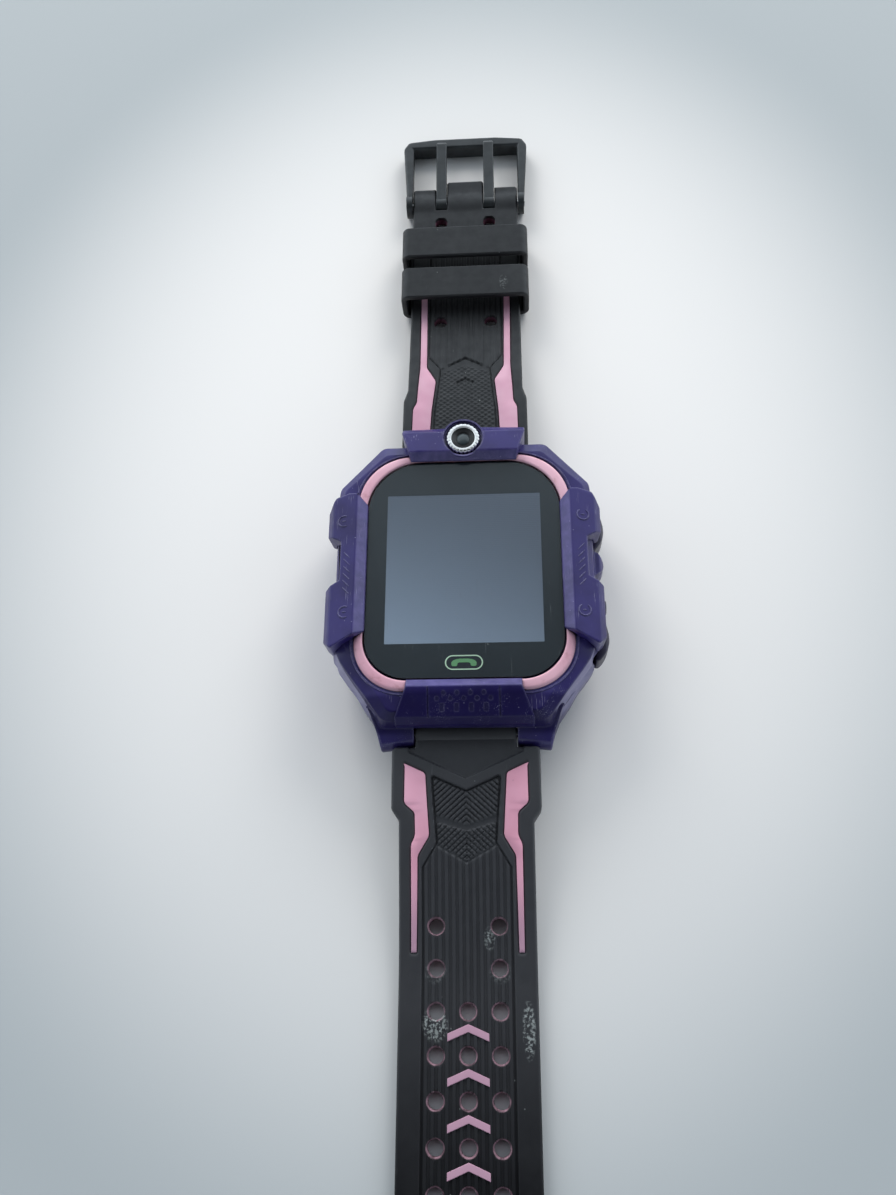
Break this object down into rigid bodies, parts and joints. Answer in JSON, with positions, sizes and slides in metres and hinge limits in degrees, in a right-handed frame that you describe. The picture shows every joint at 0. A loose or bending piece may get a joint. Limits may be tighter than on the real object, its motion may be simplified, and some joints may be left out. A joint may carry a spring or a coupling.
{
  "type": "toy watch",
  "caption": "Child's phone watch with a purple octagonal case, black touch screen, camera hood, side buttons and a grey silicone strap with pink inlays and a two-prong buckle",
  "frame": {"origin": "Middle of the back, on the face of the back cover that rests on the table, below the centre of the display.", "axes": "+Y along the strap to the buckle, +X to the side with the buttons, +Z out of the screen."},
  "size_m": [0.046, 0.2481, 0.0151],
  "materials": {
    "case_plastic": "moulded purple plastic, lightly scratched along the edges",
    "dark_plastic": "moulded dark plastic",
    "ring_plastic": "moulded pink plastic",
    "front_glass": "clear touch glass, glossy",
    "border_ink": "black print behind the glass",
    "key_ink": "green handset in a pale outline, printed",
    "display": "unlit display",
    "strap_silicone": "dark grey silicone with ribs and knurling",
    "pink_silicone": "pink silicone moulded into the strap",
    "keeper_silicone": "black silicone",
    "buckle_plastic": "black plastic, satin",
    "camera_chrome": "bright ring with a notched rim",
    "camera_black": "black barrel",
    "lens_glass": "coated lens",
    "steel": "bare steel",
    "board_green": "green board",
    "copper_film": "copper on a thin film",
    "cell_foil": "foil pouch",
    "seal_rubber": "soft seal"
  },
  "bodies": {
    "case": {"case_shell": "case_plastic", "back_cover": "dark_plastic", "back_gasket": "seal_rubber", "back_screws": "steel", "bezel_ring": "ring_plastic", "front_glass": "front_glass", "border_print": "border_ink", "call_key": "key_ink", "display_panel": "display", "display_frame": "steel", "left_guard": "case_plastic", "right_guard": "case_plastic", "camera_hood": "case_plastic", "camera_ring": "camera_chrome", "camera_barrel": "camera_black", "camera_lens": "lens_glass", "camera_module": "dark_plastic", "camera_flex": "copper_film", "speaker_hood": "case_plastic", "speaker": "dark_plastic", "microphone": "steel", "vibration_motor": "steel", "main_board": "board_green", "shield_can": "steel", "card_holder": "steel", "charge_port": "steel", "antenna": "copper_film", "battery": "cell_foil", "upper_switch": "steel", "lower_switch": "steel", "upper_spring_bar": "steel", "lower_spring_bar": "steel"},
    "upper_button": {"upper_button": "dark_plastic"},
    "lower_button": {"lower_button": "dark_plastic"},
    "port_cover": {"port_cover": "dark_plastic"},
    "long_strap": {"long_strap": "strap_silicone", "long_inlays": "pink_silicone", "long_motif": "pink_silicone"},
    "short_strap": {"short_strap": "strap_silicone", "short_inlays": "pink_silicone"},
    "front_keeper": {"front_keeper": "keeper_silicone"},
    "rear_keeper": {"rear_keeper": "keeper_silicone"},
    "buckle": {"buckle_frame": "buckle_plastic", "buckle_bar": "steel"},
    "left_prong": {"left_prong": "buckle_plastic"},
    "right_prong": {"right_prong": "buckle_plastic"}
  },
  "joints": [
    {"name": "long_strap_swing", "type": "hinge", "parent": "case", "child": "long_strap", "pos_m": [0, -0.026, 0.0055], "axis": [1, 0, 0], "range_deg": [-10, 85]},
    {"name": "short_strap_swing", "type": "hinge", "parent": "case", "child": "short_strap", "pos_m": [0, 0.0212, 0.0055], "axis": [-1, 0, 0], "range_deg": [-5, 85]},
    {"name": "front_keeper_slide", "type": "slide", "parent": "short_strap", "child": "front_keeper", "axis": [0, 1, 0], "range_m": [-0.008, 0.001]},
    {"name": "rear_keeper_slide", "type": "slide", "parent": "short_strap", "child": "rear_keeper", "axis": [0, 1, 0], "range_m": [-0.001, 0.0055]},
    {"name": "buckle_swing", "type": "hinge", "parent": "short_strap", "child": "buckle", "pos_m": [0, 0.085, 0.00225], "axis": [1, 0, 0], "range_deg": [-60, 30]},
    {"name": "left_prong_swing", "type": "hinge", "parent": "buckle", "child": "left_prong", "pos_m": [0, 0.085, 0.00225], "axis": [1, 0, 0], "range_deg": [0, 60]},
    {"name": "right_prong_swing", "type": "hinge", "parent": "buckle", "child": "right_prong", "pos_m": [0, 0.085, 0.00225], "axis": [1, 0, 0], "range_deg": [0, 60]},
    {"name": "upper_button_press", "type": "slide", "parent": "case", "child": "upper_button", "axis": [-1, 0, 0], "range_m": [0, 0.0005], "stiffness_N_per_m": 400},
    {"name": "lower_button_press", "type": "slide", "parent": "case", "child": "lower_button", "axis": [-1, 0, 0], "range_m": [0, 0.0005], "stiffness_N_per_m": 400},
    {"name": "port_cover_pull", "type": "slide", "parent": "case", "child": "port_cover", "axis": [1, 0, 0], "range_m": [0, 0.006]}
  ]
}
